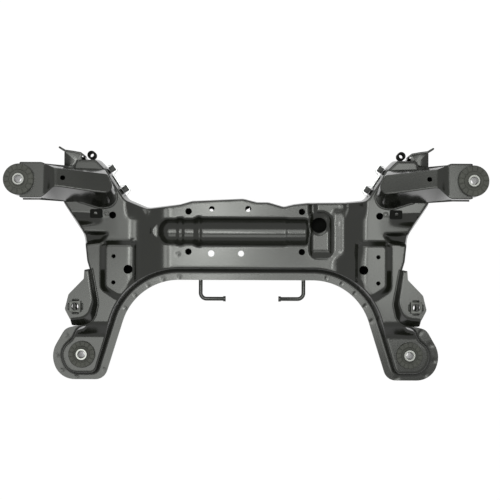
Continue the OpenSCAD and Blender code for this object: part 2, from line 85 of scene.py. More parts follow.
# Plan of the body at the wall root, in millimetres: corners [x, y, radius], left to right and front to rear
LEG_FRONT_Y = 212.0
FOOT_X = 377.0
FOOT_Y = 222.0
FOOT_INNER_X = 300.0
ARCH_X = 236.0
ARCH_R = 136.0
WEB_REAR_Y = 15.0
FLANGE_W = 17.0
FOOT_FLANGE_W = 12.0
FRONT_EDGE = [
    (-198, 114, 24), (-134, 122, 20), (-110, 129, 20), (-6, 134, 24), (22, 127, 16),
    (45, 127, 16), (76, 118, 12), (96, 123, 16), (122, 126, 16), (198, 127, 24),
]
LEFT_EDGE = [
    (-238, 131, 14), (-278, 192, 10), (-298, LEG_FRONT_Y, 14), (-344, LEG_FRONT_Y, 8), (-372, 124, 14),
    (-328, 58, 40), (-322, 4, 8), (-314, -22, 10), (-316, -98, 16), (-324, -124, 10), (-342, -130, 10),
    (-351, -151, 14), (-FOOT_X, -172, 33), (-FOOT_X + 16, -FOOT_Y, 33), (-FOOT_INNER_X, -FOOT_Y, 16),
    (-ARCH_X, -WEB_REAR_Y, ARCH_R),
]
# Edge of the welded flange, which leaves the wall root behind the rear cup
LEG_LEAN = (FOOT_INNER_X - ARCH_X) / (FOOT_Y - WEB_REAR_Y)
ARCH_RIM_X = ARCH_X - FLANGE_W * math.hypot(1, LEG_LEAN) + FLANGE_W * LEG_LEAN
ARCH_RIM_Y = WEB_REAR_Y + FLANGE_W
REAR_RIM_Y = FOOT_Y + FOOT_FLANGE_W
LEFT_RIM = LEFT_EDGE[:10] + [
    (-346, -126, 4), (-366, -131, 20), (-FOOT_X - FLANGE_W, -180, 50), (-FOOT_X - 2, -REAR_RIM_Y, 43),
    (-ARCH_RIM_X - LEG_LEAN * (REAR_RIM_Y - ARCH_RIM_Y), -REAR_RIM_Y, 24),
    (-ARCH_RIM_X, -ARCH_RIM_Y, ARCH_R - FLANGE_W),
]

# Pressed features, in millimetres, with the half-widths of their bends
CRISP = 1.5
WEB_LEFT = (-222.0, -164.0)
WEB_RIGHT = (232.0, 195.0)
WEB_BENDS = (14.0, 11.0)
WEB_SKEW = 16.0
WEB_SKEW_Y = (-26.0, -4.0)
WEB_SKEW_BEND = 5.0
FOOT_STEP = (120.0, 143.0)
FOOT_BEND = 5.0
TROUGH_Y = 65.0
TROUGH_R = 30.0
TROUGH_LIFT = 10.0
TROUGH_X = (-175.0, 127.0)
TROUGH_RUN_OUT = (20.0, 6.0)
TROUGH_STEP_X = (80.0, 84.0)
TROUGH_STEP = 1.5
TROUGH_NECK = 2.5
TROUGH_NECK_HALF = 2.0
TROUGH_BLEND = 3.0
NOSE_AT = (-178.0, 65.0)
NOSE_SIZE = (15.0, 16.0)
NOSE_Z = 96.0
NOSE_EDGE = (0.25, 0.08)
FUNNEL_R = (20.0, 14.0)
FUNNEL_DEPTH = 2.5
GROOVE_X = (126.0, 142.0)
GROOVE_Y = (97.0, 103.0)
GROOVE_DROP = 6.0
GROOVE_BENDS = (3.0, 2.0)
HOLLOW_X = (194.0, 238.0)
HOLLOW_Y = (90.0, 114.0)
HOLLOW_DROP = 9.0
HOLLOW_BENDS = (6.0, 5.0)
RIDGE_X = (172.0, 196.0)
RIDGE_Y = (14.0, 112.0)
RIDGE_RISE = 1.8
RIDGE_BENDS = (3.0, 5.0)
CORNER_DOTS = [(-282, 39), (-226, 45)]
WEB_DOTS = [(-137, 20), (183, 82)]
DOT_R = 4.0
DOT_DEPTH = 3.5
WEB_DOT_DEPTH = 0.8
BEADS_X = (-133.0, -98.0)
BEAD_RISE = 2.4
BEAD_W = 9.0
BEAD_BEND = 1.0
PAD_PLAN = [(-279, 36, 6), (-222, 36, 6), (-222, -28, 8), (-250, -65, 8), (-279, -46, 8)]
PAD_SLOPE = 10.0
PAD_BEND = 2.0
PAD_INNER_X = (218.0, 222.0)
POCKET_PLAN = [(127, 107, 20), (173, 107, 20), (173, 11, 16), (127, 11, 18)]
POCKET_SLOPE = 6.0
POCKET_RAMP = 16.0
POCKET_DEPTH = 8.0
RECESS_LOW = [(-400, 62, 4), (-272, 62, 4), (-288, 43, 16), (-316, 40, 12), (-400, 40, 4)]
RECESS_FALL = (272.0, 326.0)
RECESS_DEPTH = (5.0, 30.0)
RECESS_EDGE = (-1.0, 4.0)
TRAY_X = (262.0, 330.0)
TRAY_Y = (52.0, 99.0)
TRAY_DEPTH = 3.0
TRAY_BENDS = (8.0, 4.0)
GULLY_X = (288.0, 345.0)
GULLY_Y = (76.0, 99.0)
GULLY_DEPTH = 7.0
GULLY_BENDS = (5.0, 4.0)
RACK_X = -1.8
RACK_HALF = (114.0, 40.5)
RACK_D = 13.5
RACK_HOLES = [(RACK_X + sx * RACK_HALF[0], TROUGH_Y + sy * RACK_HALF[1], RACK_D) for sx in (-1, 1) for sy in (-1, 1)]
POCKET_HOLE = (147, 79, 31)
WEB_HOLES = [(-69, 111, 11), (4, 111, 12.5), (-70, 21, 13), (-10, 21, 12), POCKET_HOLE]
SIDE_HOLES = [(-263, 14, 9), (-263, -38, 9), (-234, -12, 18), (-266, 96, 14), (-FOOT_BUSH[0], FOOT_BUSH[1], 50)]
FLOOR_HOLES = [(-72, 110.5, 9), (4, 110.5, 9), (-72, 24, 26), (-11, 24, 26), (62, 62, 60)]
LEG_FLOOR_HOLES = [(-250, 52, 34), (-300, 160, 50), (-291, -112, 12), (-FOOT_BUSH[0], FOOT_BUSH[1], 30)]

# Arms and cups on the left side, in millimetres: corners [x, y, radius], clockwise from above
ARM_TOP_Z = 232.0
ARM_FALL = 30.0
END_STEP = 10.0
ARM_LEAN = 0.13
ARM_FILLET = 1.8
ARM_STEP = (-384.0, -367.0)
ARM_BEND = 5.0
ARM_CREST = [
    (-435, 192, 2), (-392, 192, 12), (-367, 180, 12), (-267, 170, 8), (-250, 132, 14), (-290, 135, 40),
    (-330, 140, 40), (-367, 145, 12), (-392, 124, 12), (-435, 124, 2),
]
ARM_ROOT = [
    (-435, 192, 2), (-400, 192, 12), (-372, 191.5, 12), (-281, 188, 10), (-248, 116, 22), (-290, 109, 40),
    (-330, 122, 40), (-372, 123.5, 12), (-400, 124, 12), (-435, 124, 2),
]
ARM_UNDER = ((342, 354, 402), (114, 117, 176))
ARM_HOLES = [(-351, 161, 9.5), (-ARM_BUSH[0], ARM_BUSH[1], 60)]
CUP_TOP_Z = 144.0
CUP_FILLET = 4.0
CUP_BEND = 6.0
CUP_TOP = [
    (-318, -12, 1), (-309, -12, 1), (-300, -76, 30), (-312, -108, 26), (-345, -112, 3), (-356, -91, 4),
    (-349, -62, 8), (-319, -31, 4),
]
CUP_ROOT = [
    (-312, -10, 1), (-306, -10, 1), (-293, -80, 30), (-302, -124, 31), (-346, -124, 4), (-358, -93, 4),
    (-351, -61, 8), (-317, -29, 4),
]
CUP_MOUTH = ((-20, 40, 84, 105, 112, 200), (-311, -311, -318, -340, -345, -347))
CUP_HOLES = [(*NUT_AT, 16)]

# Welds, in millimetres
SPOT_PITCH = (49.0, 32.0)
SPOT_WEB_X = 150.0
SPOT_ACROSS = 0.6
SPOT_FLANGE_W = 9.0
SPOT_R = 4.0
SPOT_REACH = 6.0
SPOT_DEPTH = 0.9
RIPPLE_PITCH = 4.0
WELD_SIDES = 8
WELD_SWELL = 0.12
ARM_WELD_R = 2.4
CUP_WELD_R = 2.0
NUT_WELD_R = 2.0
NUT_WELD_HALF = 7.0
NUT_WELD_GAP = 2.2
WELD_LIFT = 0.6
NUT_WELD_LIFT = 0.8
NUT_W = 22.0

# Clips on a leg's inner wall, in millimetres
CLIP_WALL = (LEFT_EDGE[0][:2], LEFT_EDGE[1][:2])
CLIP_START = 21.0
CLIP_SPAN = 49.0
CLIP_Z = (59.0, 73.0)
CLIP_BRIDGE = 12.5
CLIP_LAP = 1.0
CLIP_HALF = (11.0, 7.0)
CLIP_BEND = 2.0
STRIP = 1.5

# Bushes, in millimetres
ARM_CAN_Z = (178.0, 230.0)
FOOT_CAN_Z = (10.0, 94.0)
ARM_CAN_D = 60.0
FOOT_CAN_D = 54.0
CAN_WALL = 2.5
CAN_EDGE = 0.6
SLEEVE_D = 23.0
SLEEVE_EDGE = 0.8
SLEEVE_BORE_D = 14.5
ARM_SLEEVE_Z = (170.0, 238.0)
FOOT_SLEEVE_Z = (0.0, 102.0)
MOUNTS = (
    ("arm", ARM_BUSH, ARM_CAN_Z, ARM_CAN_D, ARM_SLEEVE_Z),
    ("foot", FOOT_BUSH, FOOT_CAN_Z, FOOT_CAN_D, FOOT_SLEEVE_Z),
)
RUBBER_OUT = 5.0
RUBBER_GROOVES = 15
RUBBER_GROOVE_STEPS = 2
RUBBER_GROOVE_DEPTH = 2.2
TURN_STEPS = 180
TURN_SHARP = 40.0

# Edges of the carried-over solids, in millimetres
MERGE = 0.01
EDGE_R = 0.6
EDGE_ANGLE = 35.0

# Studio: shares and strengths of the white, then places in metres
GLOW = 1.32
GLOW_SHARE = 0.75
SKY = (0.15, 1.0)
FLOOR_HALF = 6.0
FLOOR_Z = -0.0005
PANEL_Z = 2.4
CAMERA_AT = (0.008, -0.052, 2.9)
CAMERA_AIM = (0.008, 0.028, 0.1)
CAMERA_ROLL = 0.25
LENS = 100.8


def mirrored(corners):
    """The same corners on the right side, in the same order."""
    return [(-c[0],) + tuple(c[1:]) for c in corners]


def inset(corners, depth):
    """Every corner of an outline moved inward, by one depth or its own, with fillets kept concentric."""
    out = []
    depths = np.broadcast_to(depth, len(corners)).tolist()
    for before, here, after, d in zip(corners[-1:] + corners[:-1], corners, corners[1:] + corners[:1], depths):
        p = Vector(here[:2])
        u = (p - Vector(before[:2])).normalized()
        v = (Vector(after[:2]) - p).normalized()
        turn = u.x * v.y - u.y * v.x
        a = p + Vector((u.y, -u.x)) * d
        b = p + Vector((v.y, -v.x)) * d
        if abs(turn) > 1e-6:
            a = a + u * (((b - a).x * v.y - (b - a).y * v.x) / turn)
        out.append((a.x, a.y, max(here[2] + (-d if turn < 0 else d), 1.0)))
    return out


def rounded(corners, counts):
    """The points of an outline, with an arc of that many steps at each corner."""
    points = []
    for i, here in enumerate(corners):
        p = Vector(here[:2])
        u = (p - Vector(corners[i - 1][:2])).normalized()
        v = (Vector(corners[(i + 1) % len(corners)][:2]) - p).normalized()
        turn = math.atan2(u.x * v.y - u.y * v.x, u.dot(v))
        start = p - u * (here[2] * math.tan(abs(turn) / 2))
        centre = start + Vector((u.y, -u.x)) * (here[2] if turn < 0 else -here[2])
        for k in range(counts[i] + 1):
            points.append(centre + Matrix.Rotation(turn * k / counts[i], 2) @ (start - centre))
    return np.array(points)


def edge_distance(at, loop):
    """Signed distance to a closed outline (positive inside), the nearest segment and the nearest place on it."""
    a = loop
    b = np.roll(loop, -1, axis=0)
    ab = b - a
    size = np.maximum((ab ** 2).sum(1), TINY)
    dist = np.empty(len(at))
    near = np.empty(len(at), int)
    foot = np.empty((len(at), 2))
    inside = np.zeros(len(at), bool)
    for lo in range(0, len(at), CHUNK):
        p = at[lo:lo + CHUNK, None, :]
        t = np.clip(((p - a) * ab).sum(2) / size, 0, 1)
        q = a + t[..., None] * ab
        d2 = ((p - q) ** 2).sum(2)
        k = d2.argmin(1)
        rows = np.arange(len(k))
        near[lo:lo + CHUNK] = k
        dist[lo:lo + CHUNK] = np.sqrt(d2[rows, k])
        foot[lo:lo + CHUNK] = q[rows, k]
        above = (a[:, 1] > p[..., 1]) != (b[:, 1] > p[..., 1])
        rise = np.where(ab[:, 1] == 0, TINY, ab[:, 1])
        cross = a[:, 0] + (p[..., 1] - a[:, 1]) / rise * ab[:, 0]
        inside[lo:lo + CHUNK] = (above & (p[..., 0] < cross)).sum(1) % 2 == 1
    return np.where(inside, dist, -dist), near, foot


def knee(u, r):
    """Zero below, u above, and a round bend of half-width r between."""
    return np.where(u < -r, 0.0, np.where(u > r, u, (u + r) ** 2 / (4 * r)))


def slope(u, a, b, r):
    """A ramp from 0 at a to 1 at b with round bends of half-width r."""
    return (knee(u - a, r) - knee(u - b, r)) / (b - a)


def lower_of(a, b, k):
    """The lower of two surfaces, blended over k where they cross."""
    h = np.clip(0.5 + 0.5 * (b - a) / k, 0, 1)
    return b + (a - b) * h - k * h * (1 - h)


def arc_steps(corners, step):
    """How many arc steps each corner of an outline gets."""
    counts = []
    for before, here, after in zip(corners[-1:] + corners[:-1], corners, corners[1:] + corners[:1]):
        u = Vector(here[:2]) - Vector(before[:2])
        v = Vector(after[:2]) - Vector(here[:2])
        counts.append(max(2, math.ceil(u.angle(v) * here[2] / step)))
    return counts


def new_piece(name, bm, material, slot, *stands_for):
    """A bmesh in millimetres as a finished piece that rides on the part."""
    bmesh.ops.scale(bm, vec=(MM, MM, MM), verts=bm.verts)
    mesh = bpy.data.meshes.new(name)
    bm.to_mesh(mesh)
    bm.free()
    mesh.materials.append(material)
    piece = bpy.data.objects.new(name, mesh)
    bpy.context.collection.objects.link(piece)
    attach(piece, "root")
    if stands_for:
        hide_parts(*stands_for)
    return piece


def bend(a, corner, b, count):
    """Points of a round bend from a to b, which lies inside the corner, without the first."""
    for k in range(1, count + 1):
        t = k / count
        yield a * (1 - t) ** 2 + corner * (2 * t * (1 - t)) + b * t ** 2


def with_z(points, z):
    """Places in plan with a height, one for all or one for each."""
    return np.column_stack([points, np.broadcast_to(z, len(points))])


def along(loop, near, t):
    """The places on an outline that match a share t of its segments."""
    return loop[near] * (1 - t) + np.roll(loop, -1, axis=0)[near] * t


def pressed_sheet(crest, root, holes, die, cell, fillet, root_z, end_z=None, rim=None, skip_wall=None, up=True):
    """A drawn panel with round edges, leaning walls and a flange, as one open sheet in a bmesh.

    crest, root and rim are outlines with as many corners; die gives the panel's height; rim is the flange's edge.
    """
    counts = arc_steps(root, cell)
    border = rounded(inset(crest, fillet), counts)
    corner = rounded(crest, counts)
    foot_loop = rounded(root, counts)

    low = border.min(0) - cell
    high = border.max(0) + cell
    bm = bmesh.new()
    number = bm.verts.layers.int.new("border")
    across, deep = np.ceil((high - low) / cell).astype(int)
    bmesh.ops.create_grid(bm, x_segments=across, y_segments=deep, size=0.5)
    at = np.array([v.co[:2] for v in bm.verts])
    at = low + (at - at.min(0)) / (at.max(0) - at.min(0)) * (high - low)
    inside = edge_distance(at, border)[0]
    for hole in holes:
        inside = np.minimum(inside, np.hypot(at[:, 0] - hole[0], at[:, 1] - hole[1]) - hole[2] / 2)
    for v, place in zip(bm.verts, at):
        v.co = (*place, 0)
    bmesh.ops.delete(bm, geom=[v for v, d in zip(bm.verts, inside) if d < -OVERHANG * cell], context="VERTS")
    bmesh.ops.delete(bm, geom=[v for v in bm.verts if not v.link_faces], context="VERTS")

    # The ragged border is drawn onto the outline or the nearest hole
    ragged = [v for v in bm.verts if v.is_boundary]
    at = np.array([v.co[:2] for v in ragged])
    signed, near, target = edge_distance(at, border)
    reach = np.abs(signed)
    on_edge = np.ones(len(ragged), bool)
    for hole in holes:
        away = at - np.array(hole[:2])
        far = np.linalg.norm(away, axis=1)
        nearer = np.abs(far - hole[2] / 2) < reach
        reach = np.where(nearer, np.abs(far - hole[2] / 2), reach)
        target[nearer] = np.array(hole[:2]) + away[nearer] / far[nearer, None] * hole[2] / 2
        on_edge[nearer] = False
    for v, place in zip(ragged, target):
        v.co = (*place, 0)
    ring = set(ragged)
    for _ in range(SMOOTH_RINGS):
        ring |= {e.other_vert(v) for v in ring for e in v.link_edges}
    for _ in range(SMOOTH_PASSES):
        bmesh.ops.smooth_vert(bm, verts=list(ring - set(ragged)), factor=0.5, use_axis_x=True, use_axis_y=True)
    at = np.array([v.co[:2] for v in bm.verts])
    for v, z in zip(bm.verts, die(at[:, 0], at[:, 1])):
        v.co.z = z

    # Rows of the wall and the flange, one place for each border vertex
    edge = [v for v, on in zip(ragged, on_edge) if on]
    near = near[on_edge]
    start = border[near]
    run = np.roll(border, -1, axis=0)[near] - start
    p = np.array([v.co[:] for v in edge])
    share = np.clip(((p[:, :2] - start) * run).sum(1) / np.maximum((run ** 2).sum(1), TINY), 0, 1)[:, None]
    c = with_z(along(corner, near, share), p[:, 2])
    foot = along(foot_loop, near, share)
    reach = along(rounded(rim or root, counts), near, share) - foot
    width = np.linalg.norm(reach, axis=1)
    flanged = width > FLANGE_MIN
    if callable(root_z):
        foot_z = root_z(foot[:, 0], foot[:, 1])
    else:
        foot_z = np.where(flanged, root_z, end_z)
    r = with_z(foot, foot_z)
    fall = r - c
    drop = np.linalg.norm(fall, axis=1, keepdims=True)
    fall /= np.maximum(drop, TINY)
    f = np.minimum(fillet, WALL_SHARE * drop)
    rows = list(bend(p, c, c + fall * f, BEND_STEPS))
    rows.append(np.where(flanged[:, None], r - fall * f, r))
    for i, v in enumerate(edge):
        v[number] = i + 1
    edges = [e for e in bm.edges if e.is_boundary and e.verts[0][number] and e.verts[1][number]]
    if skip_wall is not None:
        open_side = skip_wall(foot[:, 0], foot[:, 1])
        is_open = [all(open_side[v[number] - 1] for v in e.verts) for e in edges]
        mouth = [e for e, gone in zip(edges, is_open) if gone]
        edges = [e for e, gone in zip(edges, is_open) if not gone]
        grow_border(bm, mouth, [c], number)
    edges = grow_border(bm, edges, rows, number)
    if rim:
        out = with_z(reach / np.maximum(width[:, None], TINY), 0.0)
        curl = np.minimum(fillet, FLANGE_SHARE * width)[:, None]
        rows = list(bend(r - fall * f, r, r + out * curl, BEND_STEPS))
        rows += [rows[-1] + out * (width[:, None] - curl) * (k + 1) / FLANGE_STEPS for k in range(FLANGE_STEPS)]
        wide = [e for e in edges if all(flanged[v[number] - 1] for v in e.verts)]
        grow_border(bm, wide, rows, number)
    bm.normal_update()
    facing = sum(face.normal.z * face.calc_area() for face in bm.faces if abs(face.normal.z) > LEVEL)
    if (facing > 0) != up:
        bmesh.ops.reverse_faces(bm, faces=bm.faces)
    for face in bm.faces:
        face.smooth = True
    for e in bm.edges:
        e.smooth = not e.is_boundary
    return bm


def grow_border(bm, edges, rows, number):
    """Extrudes border edges through rows of places, and returns the last edges."""
    for row in rows:
        grown = bmesh.ops.extrude_edge_only(bm, edges=edges)["geom"]
        for v in grown:
            if isinstance(v, bmesh.types.BMVert):
                v.co = row[v[number] - 1]
        edges = [e for e in grown if isinstance(e, bmesh.types.BMEdge)]
    return edges


def linear(code):
    """A sRGB hex colour as linear RGBA."""
    parts = [int(code[i:i + 2], 16) / 255 for i in (1, 3, 5)]
    return tuple(c / 12.92 if c <= 0.04045 else ((c + 0.055) / 1.055) ** 2.4 for c in parts) + (1.0,)


def add(tree, kind, settings=None, inputs=None):
    """A shader node with its settings, its inputs' values and its links."""
    made = tree.nodes.new(kind)
    for name, value in (settings or {}).items():
        setattr(made, name, value)
    for name, value in (inputs or {}).items():
        if isinstance(value, bpy.types.NodeSocket):
            tree.links.new(value, made.inputs[name])
        else:
            made.inputs[name].default_value = value
    return made


def finish_of(name):
    """An empty material: its tree, its shader and its object coordinates."""
    material = bpy.data.materials.new(name)
    material.use_nodes = True
    tree = material.node_tree
    return material, tree, tree.nodes["Principled BSDF"], add(tree, "ShaderNodeTexCoord").outputs["Object"]


def backdrop_rays(tree):
    """1 for rays that show the backdrop: seen straight, mirrored or through something."""
    path = add(tree, "ShaderNodeLightPath").outputs
    shown = path["Is Camera Ray"]
    for kind in ("Is Glossy Ray", "Is Transmission Ray"):
        shown = add(tree, "ShaderNodeMath", {"operation": "MAXIMUM"}, {0: shown, 1: path[kind]}).outputs[0]
    return shown


def per_mm(size):
    """Texture scale, per metre, of a pattern whose features are this many millimetres wide."""
    return 1000.0 / size


# Semi-gloss black dip paint on pressed steel: even black, a soft sheen, faint orange peel
black_dip_paint, tree, shader, place = finish_of("black_dip_paint")
cloud = add(tree, "ShaderNodeTexNoise", inputs={"Vector": place, "Scale": per_mm(70), "Detail": 4.0})
tint = add(tree, "ShaderNodeMix", {"data_type": "RGBA"},
           {0: cloud.outputs["Fac"], 6: linear("#151712"), 7: linear("#1d1f18")})
sheen = add(tree, "ShaderNodeMapRange", inputs={0: cloud.outputs["Fac"], 3: 0.15, 4: 0.23})
peel = add(tree, "ShaderNodeTexNoise", inputs={"Vector": place, "Scale": per_mm(2.2), "Detail": 2.0})
skin = add(tree, "ShaderNodeBump", inputs={"Height": peel.outputs["Fac"], "Strength": 0.02, "Distance": 0.0001})
tree.links.new(tint.outputs[2], shader.inputs["Base Color"])
tree.links.new(sheen.outputs[0], shader.inputs["Roughness"])
tree.links.new(skin.outputs["Normal"], shader.inputs["Normal"])
shader.inputs["IOR"].default_value = 1.45

# Matt, near-black dip film: the finish of the tabs and the collars, and painted shade on the sheets' inner faces,
# where it stands in for the shade inside the closed sections
matt_film_and_painted_inner_shade, tree, shader, place = finish_of("matt_film_and_painted_inner_shade")
cloud = add(tree, "ShaderNodeTexNoise", inputs={"Vector": place, "Scale": per_mm(40), "Detail": 3.0})
tint = add(tree, "ShaderNodeMix", {"data_type": "RGBA"},
           {0: cloud.outputs["Fac"], 6: linear("#121312"), 7: linear("#1b1c1a")})
tree.links.new(tint.outputs[2], shader.inputs["Base Color"])
shader.inputs["Roughness"].default_value = 0.95
shader.inputs["Specular IOR Level"].default_value = 0.2

# Moulded natural rubber with a pale bloom: matt, finely grained
moulded_rubber, tree, shader, place = finish_of("moulded_rubber")
bloom = add(tree, "ShaderNodeTexNoise", inputs={"Vector": place, "Scale": per_mm(14), "Detail": 5.0})
tint = add(tree, "ShaderNodeMix", {"data_type": "RGBA"},
           {0: bloom.outputs["Fac"], 6: linear("#3b3c39"), 7: linear("#565751")})
grain = add(tree, "ShaderNodeTexNoise", inputs={"Vector": place, "Scale": per_mm(0.9), "Detail": 3.0})
skin = add(tree, "ShaderNodeBump", inputs={"Height": grain.outputs["Fac"], "Strength": 0.35, "Distance": 0.0004})
tree.links.new(tint.outputs[2], shader.inputs["Base Color"])
tree.links.new(skin.outputs["Normal"], shader.inputs["Normal"])
shader.inputs["Roughness"].default_value = 0.78

# Turned steel tube: bright, with fine lathe rings
turned_steel, tree, shader, place = finish_of("turned_steel")
rings = add(tree, "ShaderNodeTexWave", {"wave_type": "BANDS", "bands_direction": "Z"},
            {"Vector": place, "Scale": per_mm(6.0), "Distortion": 0.6, "Detail": 2.0})
sheen = add(tree, "ShaderNodeMapRange", inputs={0: rings.outputs["Fac"], 3: 0.24, 4: 0.4})
tree.links.new(sheen.outputs[0], shader.inputs["Roughness"])
shader.inputs["Base Color"].default_value = linear("#777875")
shader.inputs["Metallic"].default_value = 1.0

# Phosphated steel of nuts: dark grey, grainy
phosphated_steel, tree, shader, place = finish_of("phosphated_steel")
grain = add(tree, "ShaderNodeTexNoise", inputs={"Vector": place, "Scale": per_mm(1.6), "Detail": 4.0})
tint = add(tree, "ShaderNodeMix", {"data_type": "RGBA"},
           {0: grain.outputs["Fac"], 6: linear("#3b3c3a"), 7: linear("#5a5b58")})
sheen = add(tree, "ShaderNodeMapRange", inputs={0: grain.outputs["Fac"], 3: 0.35, 4: 0.55})
tree.links.new(tint.outputs[2], shader.inputs["Base Color"])
tree.links.new(sheen.outputs[0], shader.inputs["Roughness"])
shader.inputs["Metallic"].default_value = 0.6

# Bright zinc plate on spring strip: pale, lightly spangled
bright_zinc, tree, shader, place = finish_of("bright_zinc")
spangle = add(tree, "ShaderNodeTexVoronoi", inputs={"Vector": place, "Scale": per_mm(3.0)})
sheen = add(tree, "ShaderNodeMapRange", inputs={0: spangle.outputs["Distance"], 3: 0.22, 4: 0.4})
tree.links.new(sheen.outputs[0], shader.inputs["Roughness"])
shader.inputs["Base Color"].default_value = linear("#e6e7e8")
shader.inputs["Metallic"].default_value = 0.4

# Moulded black polyamide: matt, faintly mottled
black_polyamide, tree, shader, place = finish_of("black_polyamide")
mottle = add(tree, "ShaderNodeTexNoise", inputs={"Vector": place, "Scale": per_mm(4.0), "Detail": 3.0})
tint = add(tree, "ShaderNodeMix", {"data_type": "RGBA"},
           {0: mottle.outputs["Fac"], 6: linear("#1a1b1a"), 7: linear("#262725")})
tree.links.new(tint.outputs[2], shader.inputs["Base Color"])
shader.inputs["Roughness"].default_value = 0.55

FINISH = {
    "paint": black_dip_paint, "rubber": moulded_rubber, "sleeve": turned_steel,
    "steel": phosphated_steel, "zinc": bright_zinc, "plastic": black_polyamide,
}


def trough_radius(x):
    """Radius of the rack trough along the car's width, with its neck, bead rings, stepped end and run-outs."""
    r = TROUGH_R - TROUGH_STEP * slope(x, *TROUGH_STEP_X, CRISP)
    r -= TROUGH_NECK * slope(-x, -BEADS_X[1] - TROUGH_NECK_HALF, -BEADS_X[1] + TROUGH_NECK_HALF, CRISP)
    for centre in BEADS_X:
        side = np.abs(x - centre) - BEAD_W / 2
        r += BEAD_RISE * (1 - slope(side, 0, BEAD_RISE, BEAD_BEND))
    left = np.clip((TROUGH_X[0] + TROUGH_RUN_OUT[0] - x) / TROUGH_RUN_OUT[0], 0, 1)
    right = np.clip((x - TROUGH_X[1] + TROUGH_RUN_OUT[1]) / TROUGH_RUN_OUT[1], 0, 1)
    return r * np.sqrt(1 - np.maximum(left, right) ** 2)


def hump(u, low, high, r):
    """1 between two places, 0 outside them, with round shoulders of half-width r."""
    return slope(u, low, low + 2 * r, r) * slope(-u, -high, -high + 2 * r, r)


def dot(x, y, at, r):
    """A round dimple of unit depth."""
    return np.exp(-((x - at[0]) ** 2 + (y - at[1]) ** 2) / (0.5 * r * r))


def panel_level(x, y):
    """Height of the plain upper panel: the legs, with the web and the feet lower."""
    near = WEB_RIGHT[1] - WEB_SKEW * slope(-y, *WEB_SKEW_Y, WEB_SKEW_BEND)
    web = slope(x, *WEB_LEFT, WEB_BENDS[0]) * slope(-x, -WEB_RIGHT[0], -near, WEB_BENDS[1])
    foot = slope(-y, *FOOT_STEP, FOOT_BEND)
    return LEG_Z - (LEG_Z - WEB_Z) * np.maximum(web, foot)


def inside_of(at, plan):
    """Distance inside a rounded plan, negative outside it."""
    return edge_distance(at, rounded(plan, arc_steps(plan, PLAN_STEP)))[0]


def upper_die(x, y):
    """Height of the upper panel with all its drawn forms."""
    out = np.abs(x)
    side = np.column_stack([-out, y])
    here = np.column_stack([x, y])
    z = panel_level(x, y)
    z -= TRAY_DEPTH * slope(out, *TRAY_X, TRAY_BENDS[0]) * hump(y, *TRAY_Y, TRAY_BENDS[1])
    z -= GULLY_DEPTH * slope(out, *GULLY_X, GULLY_BENDS[0]) * hump(y, *GULLY_Y, GULLY_BENDS[1])
    fall = np.interp(out, RECESS_FALL, RECESS_DEPTH)
    z = np.minimum(z, LEG_Z - fall * slope(inside_of(side, RECESS_LOW), *RECESS_EDGE, CRISP))
    z += PAD_RISE * slope(inside_of(side, PAD_PLAN), -PAD_SLOPE, 0, PAD_BEND) * slope(out, *PAD_INNER_X, CRISP)
    within = np.minimum(inside_of(here, POCKET_PLAN), (y - POCKET_PLAN[-1][1]) * POCKET_SLOPE / POCKET_RAMP)
    z -= POCKET_DEPTH * slope(within, 0, POCKET_SLOPE, CRISP)
    z -= GROOVE_DROP * hump(x, *GROOVE_X, GROOVE_BENDS[0]) * slope(y, *GROOVE_Y, GROOVE_BENDS[1])
    z -= HOLLOW_DROP * hump(out, *HOLLOW_X, HOLLOW_BENDS[0]) * slope(y, *HOLLOW_Y, HOLLOW_BENDS[1])
    from_hole = np.hypot(x - POCKET_HOLE[0], y - POCKET_HOLE[1])
    z -= FUNNEL_DEPTH * slope(-from_hole, -FUNNEL_R[0], -FUNNEL_R[1], CRISP)
    z += RIDGE_RISE * hump(x, *RIDGE_X, RIDGE_BENDS[0]) * hump(y, *RIDGE_Y, RIDGE_BENDS[1])
    for at in CORNER_DOTS:
        z -= DOT_DEPTH * dot(-out, y, at, DOT_R)
    for at in WEB_DOTS:
        z -= WEB_DOT_DEPTH * dot(x, y, at, DOT_R)
    nose = 1 - np.hypot((x - NOSE_AT[0]) / NOSE_SIZE[0], (y - NOSE_AT[1]) / NOSE_SIZE[1])
    z -= np.maximum(z - NOSE_Z, 0) * slope(nose, 0, *NOSE_EDGE)
    r = trough_radius(x)
    reach = r ** 2 - (y - TROUGH_Y) ** 2
    bowl = np.where(reach > 0, WEB_Z + TROUGH_LIFT - np.sqrt(np.maximum(reach, 0)), FAR)
    return lower_of(z, bowl, TROUGH_BLEND)


def weld_spots(corners, rim):
    """Places of the spot welds along the middle of the flange, wider apart on the web."""
    counts = arc_steps(corners, PLAN_STEP)
    inner = rounded(corners, counts)
    outer = rounded(rim, counts)
    line = inner * (1 - SPOT_ACROSS) + outer * SPOT_ACROSS
    wide = np.linalg.norm(outer - inner, axis=1) > SPOT_FLANGE_W
    spots = []
    gone = 0.0
    for k in range(1, len(line)):
        gone += np.linalg.norm(line[k] - line[k - 1])
        if wide[k] and gone > SPOT_PITCH[int(abs(line[k][0]) > SPOT_WEB_X)]:
            spots.append(line[k])
            gone = 0.0
    return spots


